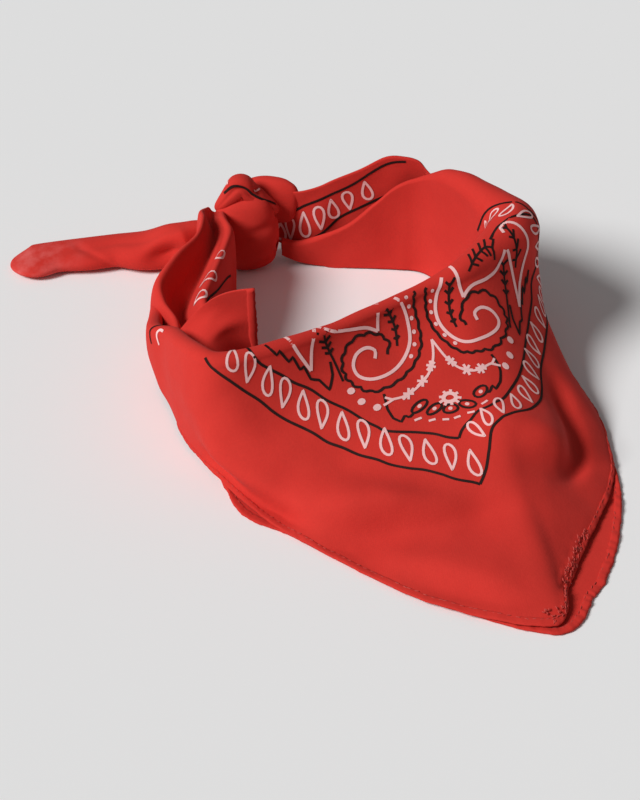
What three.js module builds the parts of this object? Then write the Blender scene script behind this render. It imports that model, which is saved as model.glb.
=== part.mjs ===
// A cotton bandana, folded to a triangle, turned in at the neck and tied in a knot, standing on a table.
// Millimetres, +Z up, the table at Z = 0. +X runs across, +Y away from the point of the cloth.
import * as THREE from "three";

// Driving dimensions
const WALL = 1.2; // cotton with its print, as a wall
const SEAM = 0.35; // clear space between layers that lie on each other
const HEM_REST = WALL + SEAM; // height of the upper layer's underside where the lower one lies under it

const CENTRE = { x: -10.2, y: -9.8 }; // middle of the whole outline, where the part's origin goes

const COTTON = new THREE.MeshStandardMaterial({ color: 0xc4261c, roughness: 0.86, metalness: 0 });
const COTTON_UNDER = new THREE.MeshStandardMaterial({ color: 0xa92018, roughness: 0.88, metalness: 0 });

const lerp = (a, b, t) => a + (b - a) * t;
const clamp = (x, low, high) => Math.min(high, Math.max(low, x));
const smooth = (t) => {
  const c = clamp(t, 0, 1);
  return c * c * (3 - 2 * c);
};

// A table is a list of named columns and a row for each section; at() reads it smoothly between the rows.
function table(columns, rows) {
  return {
    count: rows.length,
    at(t) {
      const place = clamp(t, 0, 1) * (rows.length - 1);
      const i = Math.min(rows.length - 2, Math.floor(place));
      const f = place - i;
      const row = (k) => rows[clamp(k, 0, rows.length - 1)];
      const out = {};
      columns.forEach((name, c) => {
        const [p0, p1, p2, p3] = [row(i - 1)[c], row(i)[c], row(i + 1)[c], row(i + 2)[c]];
        const m1 = (p2 - p0) / 2;
        const m2 = (p3 - p1) / 2;
        const d = p1 - p2;
        out[name] = p1 + f * (m1 + f * (-3 * d - 2 * m1 - m2 + f * (2 * d + m1 + m2)));
      });
      return out;
    },
  };
}

function bezier(p, q, r, s, t) {
  const u = 1 - t;
  return new THREE.Vector3()
    .addScaledVector(p, u * u * u)
    .addScaledVector(q, 3 * u * u * t)
    .addScaledVector(r, 3 * u * t * t)
    .addScaledVector(s, t * t * t);
}

const UP = new THREE.Vector3(0, 0, 1);

// The neck edge of the folded cloth, from the left strand round the front and the right shoulder to the knot.
// facing: heading of the cloth's outside, in degrees from +X; roll: half the width of the turned edge;
// fall and lean: how far the inside leg reaches down and outwards.
const NECK_EDGE = table(
  ["x", "y", "z", "facing", "roll", "fall", "lean"],
  [
    [-77.5, 27, 29, 176, 3, 20, 1],
    [-73.5, 9, 37, 186, 4, 24, 2],
    [-65, -6, 46, 196, 5, 28, 3],
    [-59, -22, 52.5, 206, 5, 30, 3],
    [-51.5, -37, 57, 222, 4.5, 32, 3],
    [-43, -44, 58.5, 262, 4, 32, 3],
    [-27, -39.5, 58.5, 292, 3.5, 32, 3],
    [1, -24.5, 58.5, 299, 3.5, 32, 4],
    [29, -6, 59.5, 301, 3.5, 34, 4],
    [47, 5, 62, 304, 4, 36, 4],
    [60, 12, 65.5, 312, 5.5, 40, 4],
    [73, 26, 69, 325, 8, 46, 4],
    [83, 39, 70.5, 345, 12, 54, 2],
    [86, 53, 70.5, 368, 12, 60, -4],
    [79, 66, 69, 392, 9.5, 66, -6],
    [68.5, 79.5, 67.5, 405, 7, 66, -4],
    [59, 90, 64.5, 414, 5, 64, -3],
    [51, 97, 58, 424, 2.6, 57, -2],
    [45.5, 101, 53.5, 434, 2, 53, -1],
    [39.5, 103, 50, 442, 1.8, 49.5, 0],
    [33, 104, 45, 446, 1.8, 44.5, 0],
    [25, 104.5, 36.5, 448, 1.8, 36, 0],
    [12, 105, 24, 450, 1.8, 23.5, 0],
    [-8, 107.5, 11.5, 452, 1.8, 11, 0],
    [-18.5, 109.8, 8.5, 455, 1.8, 8, 0],
  ],
);

// The hem below each row of NECK_EDGE. belly: how far the leg swells out under the neck edge;
// drop: how steeply it leaves that edge; toe: how flat it comes to the table;
// under: how far the lower layer shows beyond the hem.
const HEM = table(
  ["x", "y", "z", "belly", "drop", "toe", "under"],
  [
    [-76, 27, 3, 1, 8, 2, -5],
    [-74, 15, 3, 2, 12, 3, -5],
    [-66, -12, 3, 1, 14, 5, -5],
    [-58.8, -32.6, 3, 3, 16, 8, -4],
    [-47, -53, 3, 5, 18, 12, -4],
    [-31, -76, 3, 8, 20, 14, 4.5],
    [-12, -94.5, 3, 8, 22, 18, -1],
    [14, -116, 3, 9, 24, 24, -2],
    [52, -139.5, 3, 10, 26, 32, -2],
    [94, -150, 3, 11, 26, 36, 3],
    [102, -127, 3, 12, 26, 34, 11],
    [112, -98, 3, 8, 30, 28, 12],
    [127, -56, 3, 0, 42, 26, 2],
    [123, -14, 3, -1, 50, 18, -4],
    [106, 42, 3, 0, 42, 8, -4],
    [91, 78, 6, 0, 26, 4, -4],
    [74, 94, 22, 1, 12, 1, -4],
    [52.8, 99.3, 54, 0.4, 1, 0.4, -4],
    [46.2, 103, 50, 0.2, 0.6, 0.2, -4],
    [39.9, 104.8, 46.6, 0.2, 0.6, 0.2, -4],
    [33.1, 105.8, 41.7, 0.2, 0.6, 0.2, -4],
    [25.1, 106.3, 33.2, 0.2, 0.6, 0.2, -4],
    [12, 106.8, 20.8, 0.2, 0.6, 0.2, -4],
    [-8, 109.3, 8.4, 0.2, 0.6, 0.2, -4],
    [-18.6, 111.6, 5.6, 0.2, 0.6, 0.2, -4],
  ],
);

const LEG_SHARE = 0.62; // share of a section that is the outside leg
const ROLL_SHARE = 0.14; // share that goes over the neck edge

const heading = (degrees) => {
  const turn = THREE.MathUtils.degToRad(degrees);
  return new THREE.Vector3(Math.cos(turn), Math.sin(turn), 0);
};

// A point of the cloth: a runs along the neck edge, b from the hem up, over the edge and down inside.
function neckCloth(a, b) {
  const edge = NECK_EDGE.at(a);
  const hem = HEM.at(a);
  const out = heading(edge.facing);
  const rim = new THREE.Vector3(edge.x, edge.y, edge.z - edge.roll);
  const foot = new THREE.Vector3(hem.x, hem.y, hem.z);
  if (b < LEG_SHARE) {
    const start = rim.clone().addScaledVector(out, edge.roll);
    const high = start.clone().addScaledVector(out, hem.belly).addScaledVector(UP, -hem.drop);
    const inward = start.clone().sub(foot).setZ(0).normalize();
    const low = foot.clone().addScaledVector(inward, hem.toe).addScaledVector(UP, hem.toe * 0.35);
    return bezier(foot, low, high, start, b / LEG_SHARE);
  }
  if (b < LEG_SHARE + ROLL_SHARE) {
    const angle = (Math.PI * (b - LEG_SHARE)) / ROLL_SHARE;
    return rim
      .clone()
      .addScaledVector(out, edge.roll * Math.cos(angle))
      .addScaledVector(UP, edge.roll * Math.sin(angle));
  }
  const inside = rim.clone().addScaledVector(out, -edge.roll);
  const t = (b - LEG_SHARE - ROLL_SHARE) / (1 - LEG_SHARE - ROLL_SHARE);
  const reach = Math.min(edge.fall, inside.z - WALL * 0.2);
  const first = inside.clone().addScaledVector(UP, -reach * 0.35);
  const last = inside.clone().addScaledVector(UP, -reach).addScaledVector(out, -edge.lean);
  const third = last.clone().addScaledVector(UP, reach * 0.3);
  return bezier(inside, first, third, last, t);
}

// The direction out of a surface at (a, b).
function outward(surface, a, b) {
  const step = 1e-3;
  const da = surface(Math.min(1, a + step), b).sub(surface(Math.max(0, a - step), b));
  const db = surface(a, Math.min(1, b + step)).sub(surface(a, Math.max(0, b - step)));
  return da.cross(db).normalize();
}

// A closed wall on a surface of points: its outside is surface(a, b), its inside lies one WALL behind it.
function clothWall(surface, across, along, { from = 0, to = 1, floor = 0 } = {}) {
  const positions = [];
  const indices = [];
  for (let i = 0; i <= across; i++) {
    for (let j = 0; j <= along; j++) {
      const a = lerp(from, to, i / across);
      const b = j / along;
      const p = surface(a, b);
      const q = p.clone().addScaledVector(outward(surface, a, b), -WALL);
      positions.push(p.x, p.y, Math.max(floor + WALL, p.z));
      positions.push(q.x, q.y, Math.max(floor, q.z));
    }
  }
  const id = (i, j, side) => 2 * (i * (along + 1) + j) + side;
  const quad = (p, q, r, s) => indices.push(p, q, r, p, r, s);
  for (let i = 0; i < across; i++) {
    for (let j = 0; j < along; j++) {
      quad(id(i, j, 0), id(i + 1, j, 0), id(i + 1, j + 1, 0), id(i, j + 1, 0));
      quad(id(i, j, 1), id(i, j + 1, 1), id(i + 1, j + 1, 1), id(i + 1, j, 1));
    }
  }
  for (let i = 0; i < across; i++) {
    quad(id(i, 0, 1), id(i + 1, 0, 1), id(i + 1, 0, 0), id(i, 0, 0));
    quad(id(i, along, 0), id(i + 1, along, 0), id(i + 1, along, 1), id(i, along, 1));
  }
  for (let j = 0; j < along; j++) {
    quad(id(0, j, 0), id(0, j + 1, 0), id(0, j + 1, 1), id(0, j, 1));
    quad(id(across, j, 1), id(across, j + 1, 1), id(across, j + 1, 0), id(across, j, 0));
  }
  return closedGeometry(positions, indices);
}

function closedGeometry(positions, indices) {
  const geometry = new THREE.BufferGeometry();
  geometry.setAttribute("position", new THREE.Float32BufferAttribute(positions, 3));
  geometry.setIndex(indices);
  geometry.computeVertexNormals();
  return geometry;
}

// A closed soft body along the rows of a table: centre x, y, z, half sizes wide and high, and the heading
// of its width. Its sections are rounded, more square for a larger power, and flat where they meet the floor.
function softBody(rows, rings, around, { power = 2.3, floor = 0 } = {}) {
  const positions = [];
  const indices = [];
  const centre = (t) => {
    const r = rows.at(t);
    return new THREE.Vector3(r.x, r.y, r.z);
  };
  for (let i = 0; i <= rings; i++) {
    const t = i / rings;
    const row = rows.at(t);
    const along = centre(Math.min(1, t + 0.02)).sub(centre(Math.max(0, t - 0.02))).normalize();
    const side = heading(row.side);
    side.addScaledVector(along, -side.dot(along)).normalize();
    const lift = along.clone().cross(side);
    const round = Math.sqrt(Math.max(0, 1 - Math.abs(2 * t - 1) ** 9));
    for (let j = 0; j < around; j++) {
      const angle = (2 * Math.PI * j) / around;
      const c = Math.cos(angle);
      const s = Math.sin(angle);
      const u = Math.sign(c) * Math.abs(c) ** (2 / power) * row.wide * Math.max(0.12, round);
      const v = Math.sign(s) * Math.abs(s) ** (2 / power) * row.high * Math.max(0.12, round);
      const p = centre(t).addScaledVector(side, u).addScaledVector(lift, v);
      positions.push(p.x, p.y, Math.max(floor, p.z));
    }
  }
  const first = positions.length / 3;
  for (const t of [0, 1]) {
    const p = centre(t);
    positions.push(p.x, p.y, Math.max(floor, p.z));
  }
  const id = (i, j) => i * around + (j % around);
  for (let i = 0; i < rings; i++) {
    for (let j = 0; j < around; j++) {
      indices.push(id(i, j), id(i, j + 1), id(i + 1, j + 1), id(i, j), id(i + 1, j + 1), id(i + 1, j));
    }
  }
  for (let j = 0; j < around; j++) {
    indices.push(first, id(0, j + 1), id(0, j), first + 1, id(rings, j), id(rings, j + 1));
  }
  return closedGeometry(positions, indices);
}

// The lower layer of the triangle: it lies flat on the table under the hem and follows the front leg up inside.
function underCloth(a, b) {
  const flat = 0.3; // share that lies on the table
  const hem = HEM.at(a);
  const foot = neckCloth(a, 0);
  const run = neckCloth(a + 0.004, 0).sub(neckCloth(a - 0.004, 0));
  const out = new THREE.Vector3(run.y, -run.x, 0).normalize();
  const edge = foot.clone().addScaledVector(out, hem.under).setZ(WALL);
  const inset = (c) => {
    const p = neckCloth(a, c);
    return p.addScaledVector(outward(neckCloth, a, c), -(WALL + 2 * SEAM));
  };
  if (b < flat) {
    const p = edge.lerp(inset(LEG_SHARE * 0.06), b / flat);
    p.z = WALL;
    return p;
  }
  const p = inset(LEG_SHARE * lerp(0.06, 0.72, (b - flat) / (1 - flat)));
  p.z = Math.max(WALL, p.z);
  return p;
}

// The other end of the cloth, standing behind the inner band from the right shoulder to the knot.
const BACK_LAYER = table(
  ["topX", "topY", "topZ", "baseX", "baseY", "baseZ"],
  [
    [50.5, 103.2, 56, 76, 96.5, WALL],
    [46.5, 105.4, 60, 66, 102, WALL],
    [40, 107, 61.3, 54, 106.3, WALL],
    [31, 108.4, 60.4, 40, 108.4, WALL],
    [19, 109, 53.2, 24, 109.2, WALL],
    [7, 109.8, 47, 11, 109.8, WALL],
    [-1, 111, 42, 1, 111, WALL],
    [-9, 112.4, 38.6, -9, 112, 3],
    [-17, 115, 36, -17, 114.8, 6],
    [-23, 117, 30.5, -23, 116.8, 9],
    [-28, 117.8, 28, -28, 117.6, 10],
  ],
);

function backLayer(a, b) {
  const row = BACK_LAYER.at(a);
  const top = new THREE.Vector3(row.topX, row.topY, row.topZ);
  const base = new THREE.Vector3(row.baseX, row.baseY, row.baseZ);
  return base.lerp(top, b).addScaledVector(new THREE.Vector3(0, 1, 0), 0.8 * Math.sin(Math.PI * b));
}

// The left strand between the front and the knot: an outer ridge, a hollow and an inner crest.
// facing: heading of its outside; half: half its width; the heights of its features above the table.
const STRAND = table(
  ["x", "y", "facing", "half", "ridge", "dip", "crest", "foot"],
  [
    [-57.5, 12, 160, 10.5, 34, 26, 42, 6],
    [-59.5, 24, 160, 11, 35, 23, 42, 3],
    [-61, 36, 168, 15.5, 38, 22, 41, 2],
    [-55.5, 52, 178, 12.5, 42, 27, 40, 2],
    [-50, 66, 176, 8.5, 43, 33, 39, 2],
    [-47, 79, 172, 7, 42, 35, 38, 3],
    [-49.2, 89, 168, 5, 40, 36, 37, 10],
    [-55.4, 103.5, 172, 2.4, 41, 39, 38, 30],
  ],
);

function strandCloth(a, b) {
  const row = STRAND.at(a);
  const out = heading(row.facing);
  const profile = table(
    ["w", "z"],
    [
      [0.92, row.foot],
      [1.02, lerp(row.foot, row.ridge, 0.55)],
      [0.9, row.ridge - 2],
      [0.7, row.ridge],
      [0.45, lerp(row.ridge, row.dip, 0.7)],
      [0.1, row.dip],
      [-0.35, lerp(row.dip, row.crest, 0.6)],
      [-0.66, row.crest],
      [-0.88, row.crest - 3],
      [-0.96, lerp(row.crest, row.foot, 0.5)],
      [-0.92, row.foot],
    ],
  ).at(b);
  return new THREE.Vector3(row.x, row.y, profile.z).addScaledVector(out, row.half * profile.w);
}

// The flap at the left of the neck opening, with the hem of the cloth as its upright free edge.
const FLAP = {
  lowStart: 4.2,
  highStart: 1.4, // rows of NECK_EDGE between which its inner end lies
  lowRight: [-27, 0, 14],
  highRight: [-28.6, -6, 65.5],
  hollow: 5,
  arch: 3,
};

function flapCloth(a, b) {
  const start = lerp(FLAP.lowStart, FLAP.highStart, b) / (NECK_EDGE.count - 1);
  const inside = LEG_SHARE + ROLL_SHARE * 1.3;
  const clear = SEAM * 2.6;
  const left = neckCloth(start, inside).addScaledVector(outward(neckCloth, start, inside), clear);
  const right = new THREE.Vector3(...FLAP.lowRight).lerp(new THREE.Vector3(...FLAP.highRight), b);
  const sag = FLAP.hollow * Math.sin(Math.PI * a) * (0.4 + 0.6 * Math.sin(Math.PI * b));
  const rise = FLAP.arch * Math.sin(Math.PI * a) * b;
  return left.lerp(right, a).add(new THREE.Vector3(-0.35 * sag, 0.9 * sag, rise));
}

const SOFT = ["x", "y", "z", "wide", "high", "side"];

// The round wrap at the front of the knot, from its underside up.
const KNOT_WRAP = table(SOFT, [
  [-36, 105, 0, 8, 5, 0],
  [-36, 105, 5, 13.6, 8.2, 4],
  [-35.6, 105, 12, 15.6, 9.2, 6],
  [-35.4, 105.2, 20, 15.8, 9.4, 4],
  [-35.6, 105.6, 28, 15, 8.6, 0],
  [-35.8, 106, 35, 12.4, 6.6, -6],
  [-36.4, 106.8, 39.5, 8, 3.8, -8],
]);

// The fold that runs over the top of the wrap.
const KNOT_OVER = table(SOFT, [
  [-53, 115, 33, 3.4, 3.6, 90],
  [-48, 116.5, 39, 4.4, 4.4, 90],
  [-41, 118, 42, 5.4, 5, 90],
  [-34, 119.5, 42, 5.6, 5.4, 90],
  [-27, 115.8, 38.8, 4.4, 4.4, 90],
  [-21, 110.6, 32.5, 2.6, 3.4, 90],
]);

// The turn of the back layer where it goes into the knot.
const KNOT_BACK = table(SOFT, [
  [-12.5, 118.6, 27, 3, 9, 90],
  [-19, 122.6, 26, 5.4, 12, 90],
  [-27, 125.6, 25, 6.4, 13.4, 90],
  [-36, 127, 21, 6.4, 12, 90],
  [-44, 126.4, 18, 5.4, 10, 90],
]);

// The tail that lies out to the left, from the knot to its corner.
const TAIL = table(SOFT, [
  [-49.9, 110.8, 16, 4.4, 7.4, 90],
  [-57, 110.4, 14, 6.4, 9, 90],
  [-64, 108.6, 12, 8.4, 10, 90],
  [-72, 107, 10.5, 10, 10.4, 90],
  [-84, 107.8, 7.6, 12, 7.6, 90],
  [-98, 110, 6, 10.6, 6, 90],
  [-112, 108.6, 5, 11.6, 5, 90],
  [-127, 107.6, 4, 11.6, 4, 90],
  [-139, 104.4, 3.2, 13.4, 3.2, 90],
  [-149.5, 104.5, 2, 7.4, 1.8, 90],
]);

function piece(name, geometry, material) {
  const mesh = new THREE.Mesh(geometry, material);
  mesh.name = name;
  return mesh;
}

const SHOULDER = 13.6 / (NECK_EDGE.count - 1); // where the front drape ends and the inner band goes on
const LOWER_START = 3.4 / (NECK_EDGE.count - 1);
const LOWER_END = 13.2 / (NECK_EDGE.count - 1);

const bandana = new THREE.Group();
bandana.add(
  piece("front_drape", clothWall(neckCloth, 48, 26, { to: SHOULDER, floor: HEM_REST }), COTTON),
  piece("inner_band", clothWall(neckCloth, 24, 26, { from: SHOULDER + 0.0012 }), COTTON),
  piece("lower_layer", clothWall(underCloth, 30, 10, { from: LOWER_START, to: LOWER_END }), COTTON_UNDER),
  piece("back_layer", clothWall(backLayer, 20, 6), COTTON),
  piece("left_strand", clothWall(strandCloth, 18, 26), COTTON),
  piece("neck_flap", clothWall(flapCloth, 8, 8), COTTON),
  piece("knot_wrap", softBody(KNOT_WRAP, 16, 24), COTTON),
  piece("knot_over", softBody(KNOT_OVER, 14, 14), COTTON),
  piece("knot_back", softBody(KNOT_BACK, 12, 18), COTTON),
  piece("tail", softBody(TAIL, 24, 18), COTTON),
);

for (const mesh of bandana.children) mesh.geometry.translate(-CENTRE.x, -CENTRE.y, 0);

export default bandana;
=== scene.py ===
import math
import bpy
import bmesh
import numpy as np
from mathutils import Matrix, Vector, noise


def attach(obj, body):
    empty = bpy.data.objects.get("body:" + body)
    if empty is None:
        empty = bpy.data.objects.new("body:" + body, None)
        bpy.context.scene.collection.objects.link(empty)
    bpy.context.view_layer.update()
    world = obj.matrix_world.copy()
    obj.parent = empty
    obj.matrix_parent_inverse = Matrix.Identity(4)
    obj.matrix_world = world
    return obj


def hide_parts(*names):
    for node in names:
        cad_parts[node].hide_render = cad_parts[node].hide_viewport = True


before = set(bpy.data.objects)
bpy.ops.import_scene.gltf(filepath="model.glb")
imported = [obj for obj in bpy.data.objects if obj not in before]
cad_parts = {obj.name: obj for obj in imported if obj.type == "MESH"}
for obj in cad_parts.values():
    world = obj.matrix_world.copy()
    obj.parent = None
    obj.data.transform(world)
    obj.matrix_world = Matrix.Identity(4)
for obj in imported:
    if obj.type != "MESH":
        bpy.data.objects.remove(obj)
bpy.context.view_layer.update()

# Millimetres in the tables; shift puts the middle of the outline at the part's origin.
mm = 0.001
shift = np.array([10.2, 9.8, 0.0])
wall = 1.2        # the cloth's wall in the CAD solids
hemRest = 1.55    # where the upper layer's underside lies on the lower one


def say(text):
    print("bandana:", text)


def camera():
    view = {"height": 38.0, "distance": 1100.0, "lens": 110.0}
    angle = math.radians(view["height"])
    target = Vector(shift * mm)
    data = bpy.data.cameras.new("camera")
    data.lens = view["lens"]
    data.sensor_fit = "VERTICAL"
    data.sensor_height = 36.0
    eye = bpy.data.objects.new("camera", data)
    eye.location = target + Vector((0, -math.cos(angle), math.sin(angle))) * view["distance"] * mm
    eye.rotation_euler = (math.radians(90.0 - view["height"]), 0, 0)
    bpy.context.scene.collection.objects.link(eye)
    bpy.context.scene.camera = eye


camera()
say("camera")

# Forms: each table has one row for each section, read smoothly between its rows.
neckEdge = [  # x, y, z, facing, roll, fall, lean
    [-73.6, 33, 29, 172, 3, 20, 1], [-73.5, 9, 37, 186, 4, 24, 2], [-65, -6, 46, 196, 5, 28, 3],
    [-59, -22, 52.5, 206, 5, 30, 3], [-51.5, -37, 57, 222, 4.5, 32, 3], [-43, -44, 58.5, 262, 4, 32, 3],
    [-27, -39.5, 58.5, 292, 3.5, 32, 3], [1, -24.5, 58.5, 299, 3.5, 32, 4], [29, -6, 59.5, 301, 3.5, 34, 4],
    [47, 5, 62, 304, 4, 36, 4], [60, 12, 65.5, 312, 5.5, 40, 4], [73, 26, 69, 325, 8, 46, 4],
    [83, 39, 70.5, 345, 12, 54, 2], [86, 53, 70.5, 368, 12, 60, -4], [79, 66, 69, 392, 9.5, 66, -6],
    [68.5, 79.5, 67.5, 405, 7, 66, -4], [59, 90, 64.5, 414, 5, 64, -3], [51, 97, 58, 424, 2.6, 57, -2],
    [45.5, 101, 53.5, 434, 2, 53, -1], [39.5, 103, 50, 442, 1.8, 49.5, 0], [33, 104, 45, 446, 1.8, 44.5, 0],
    [25, 104.5, 36.5, 448, 1.8, 36, 0], [12, 105, 24, 450, 1.8, 23, 0], [-8, 107.5, 13.5, 452, 1.8, 10, 0],
    [-18.5, 109.8, 13, 455, 1.8, 6.4, 0],
]
hemEdge = [  # x, y, z, belly, drop, toe, under
    [-72.4, 33, 2.4, 1, 8, 2, -5], [-74, 15, 2.4, 2, 12, 2.4, -5], [-66, -12, 2.4, 1, 14, 5, -5],
    [-58.8, -32.6, 2.4, 3, 16, 8, -4], [-47, -53, 2.4, 5, 18, 12, -4], [-31, -76, 2.4, 8, 20, 14, 4.5],
    [-12, -94.5, 2.4, 8, 22, 18, -1], [14, -116, 2.4, 9, 24, 24, -2], [52, -139.5, 2.4, 10, 26, 32, -2],
    [94, -150, 2.4, 11, 26, 36, 3], [102, -127, 2.4, 12, 26, 34, 11], [112, -98, 2.4, 8, 30, 28, 12],
    [127, -56, 2.4, 0, 42, 26, 2], [123, -14, 2.4, -1, 50, 18, -4], [106, 42, 2.4, 0, 42, 8, -4],
    [91, 78, 6, 0, 26, 4, -4], [74, 94, 22, 1, 12, 1, -4], [52.8, 99.3, 54, 0.4, 1, 0.4, -4],
    [46.2, 103, 50, 0.2, 0.6, 0.2, -4], [39.9, 104.8, 46.6, 0.2, 0.6, 0.2, -4],
    [33.1, 105.8, 41.7, 0.2, 0.6, 0.2, -4], [25.1, 106.3, 33.2, 0.2, 0.6, 0.2, -4],
    [12, 106.8, 20.8, 0.2, 0.6, 0.2, -4], [-8, 109.3, 8.4, 0.2, 0.6, 0.2, -4],
    [-18.6, 111.6, 5.6, 0.2, 0.6, 0.2, -4],
]
backRows = [  # top x, y, z and base x, y, z
    [57, 97, 52, 82, 88.5, 1.2],
    [50.5, 103.2, 56, 76, 96.5, 1.2], [46.5, 105.4, 60, 66, 102, 1.2], [40, 107, 61.3, 54, 106.3, 1.2],
    [31, 108.4, 60.4, 40, 108.4, 1.2], [19, 109, 53.2, 24, 109.2, 1.2], [7, 109.8, 47, 11, 109.8, 1.2],
    [-1, 111, 42, 1, 111, 1.2], [-9, 112.4, 38.6, -9, 112, 3], [-17, 115, 36, -17, 114.8, 6],
    [-23, 117, 30.5, -23, 116.8, 9], [-28, 117.8, 28, -28, 117.6, 10],
]
strandRows = [  # x, y, facing, half, ridge, dip, crest, foot
    [-55.5, -4, 160, 10, 34, 27, 41, 8], [-57.5, 12, 160, 10.5, 34, 26, 42, 6], [-61.3, 24, 160, 13.6, 35, 23, 42, 3],
    [-61, 36, 168, 15.5, 38, 22, 41, 2], [-55.5, 52, 178, 12.5, 42, 27, 40, 2],
    [-50, 66, 176, 8.5, 43, 33, 39, 2], [-48, 80, 172, 8.4, 43, 33, 39, 3],
    [-50, 91, 168, 7.6, 40, 34, 38, 10], [-49.5, 103, 160, 5.6, 34, 32, 33, 22],
]
flapForm = {"lowStart": 4.2, "highStart": 1.4, "lowRight": [-27, 0, 14], "highRight": [-28.6, -6, 65.5],
            "hollow": 6, "arch": 6, "clear": 0.91}
wrapRows = [  # x, y, z, half wide, half high, heading of the width
    [-36, 105, 0, 8, 5, 0], [-36, 105, 5, 13.6, 8.2, 4], [-35.6, 105, 12, 15.6, 9.2, 6],
    [-35.4, 105.2, 20, 15.8, 9.4, 4], [-35.6, 105.6, 28, 15, 8.6, 0], [-35.8, 106, 35, 12.4, 6.6, -6],
    [-36.4, 106.8, 39.5, 8, 3.8, -8],
]
overRows = [
    [-49.5, 107.6, 31, 3, 2.6, 84], [-45.6, 108, 35.4, 5.4, 3.4, 84], [-41, 108.6, 40, 6.4, 5.2, 84],
    [-37.6, 109.2, 42.4, 6.4, 6.6, 88], [-33.4, 109.2, 39.6, 6.8, 4.8, 90], [-27.4, 108.4, 35.4, 6.4, 3.6, 94],
    [-19.6, 107.4, 30.4, 3.2, 2.6, 96],
]
backTurnRows = [
    [-11, 113.4, 29, 2.4, 9, 84], [-15, 116, 29.4, 4.6, 11.6, 84], [-20, 118.6, 29, 6.4, 13, 88],
    [-27, 121.6, 27, 7, 13.4, 90], [-36, 123, 23, 6.8, 12, 90], [-44, 122.4, 19, 5.4, 10, 90],
]
tailRows = [
    [-49.9, 110.8, 16, 4.4, 7.4, 90], [-57, 110.4, 14, 6.4, 9, 90], [-64, 108.6, 12, 8.4, 10, 90],
    [-72, 107, 10.5, 10, 10.4, 90], [-84, 107.8, 7.6, 12, 7.6, 90], [-98, 110, 6, 10.6, 6, 90],
    [-112, 108.6, 5, 11.6, 5, 90], [-127, 107.6, 4, 11.6, 4, 90], [-139, 104.4, 3.2, 13.4, 3.2, 90],
    [-149.5, 104.5, 2, 7.4, 1.8, 90],
]
lastRow = len(neckEdge) - 1
legShare = 0.62
rollShare = 0.14


def readRows(rows, t):
    rows = np.array(rows, float)
    last = len(rows) - 1
    place = np.clip(t, 0, 1) * last
    i = np.minimum(last - 1, np.floor(place)).astype(int)
    f = (place - i)[:, None]
    p0, p1, p2, p3 = (rows[np.clip(i + k, 0, last)] for k in (-1, 0, 1, 2))
    m1, m2, d = (p2 - p0) / 2, (p3 - p1) / 2, p1 - p2
    return (p1 + f * (m1 + f * (-3 * d - 2 * m1 - m2 + f * (2 * d + m1 + m2)))).T


def heading(degrees):
    turn = np.radians(degrees)
    return np.stack([np.cos(turn), np.sin(turn), np.zeros_like(turn)], axis=-1)


def unit(v):
    return v / np.maximum(1e-9, np.linalg.norm(v, axis=-1, keepdims=True))


def col(v):
    return np.asarray(v, float)[:, None]


up = np.array([0.0, 0.0, 1.0])


def bezier(p, q, r, s, t):
    t = col(t)
    u = 1 - t
    return p * u ** 3 + 3 * q * u * u * t + 3 * r * u * t * t + s * t ** 3


def neckCloth(a, b):
    x, y, z, facing, roll, fall, lean = readRows(neckEdge, a)
    hx, hy, hz, belly, drop, toe, under = readRows(hemEdge, a)
    out = heading(facing)
    rim = np.stack([x, y, z - roll], axis=-1)
    foot = np.stack([hx, hy, hz], axis=-1)
    start = rim + out * col(roll)
    high = start + out * col(belly) - up * col(drop)
    inward = unit((start - foot) * np.array([1, 1, 0]))
    low = foot + inward * col(toe) + up * col(toe) * 0.35
    leg = bezier(foot, low, high, start, np.minimum(b / legShare, 1))
    angle = np.pi * np.clip((b - legShare) / rollShare, 0, 1)
    turn = rim + out * col(roll * np.cos(angle)) + up * col(roll * np.sin(angle))
    inside = rim - out * col(roll)
    reach = np.minimum(fall, inside[:, 2] - wall * 0.2)
    first = inside - up * col(reach * 0.35)
    last = inside - up * col(reach) - out * col(lean)
    third = last + up * col(reach * 0.3)
    down = bezier(inside, first, third, last, np.clip((b - legShare - rollShare) / (1 - legShare - rollShare), 0, 1))
    return np.where(col(b < legShare), leg, np.where(col(b < legShare + rollShare), turn, down))


def outward(surface, a, b):
    step = 1e-3
    da = surface(np.minimum(1, a + step), b) - surface(np.maximum(0, a - step), b)
    db = surface(a, np.minimum(1, b + step)) - surface(a, np.maximum(0, b - step))
    return unit(np.cross(da, db))


def backLayer(a, b):
    r = readRows(backRows, a)
    top, base = r[:3].T, r[3:].T
    return base + (top - base) * col(b) + np.array([0, 1, 0]) * col(0.8 * np.sin(np.pi * b))


def strandCloth(a, b):
    x, y, facing, half, ridge, dip, crest, foot = readRows(strandRows, a)
    profile = [
        (0.92, foot), (1.02, foot + (ridge - foot) * 0.55), (0.9, ridge - 2), (0.7, ridge),
        (0.45, ridge + (dip - ridge) * 0.7), (0.1, dip), (-0.35, dip + (crest - dip) * 0.6),
        (-0.66, crest), (-0.88, crest - 3), (-0.96, crest + (foot - crest) * 0.5), (-0.92, foot),
    ]
    last = len(profile) - 1
    place = np.clip(b, 0, 1) * last
    i = np.minimum(last - 1, np.floor(place)).astype(int)
    f = place - i
    w = np.array([p[0] for p in profile])
    z = np.array([p[1] for p in profile])
    n = np.arange(len(a))

    def ease(k0, k1, k2, k3):
        m1, m2, d = (k2 - k0) / 2, (k3 - k1) / 2, k1 - k2
        return k1 + f * (m1 + f * (-3 * d - 2 * m1 - m2 + f * (2 * d + m1 + m2)))

    steps = [np.clip(i + k, 0, last) for k in (-1, 0, 1, 2)]
    across = ease(*[w[k] for k in steps])
    height = ease(*[z[k, n] for k in steps])
    return np.stack([x, y, height], axis=-1) + heading(facing) * col(half * across)


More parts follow.
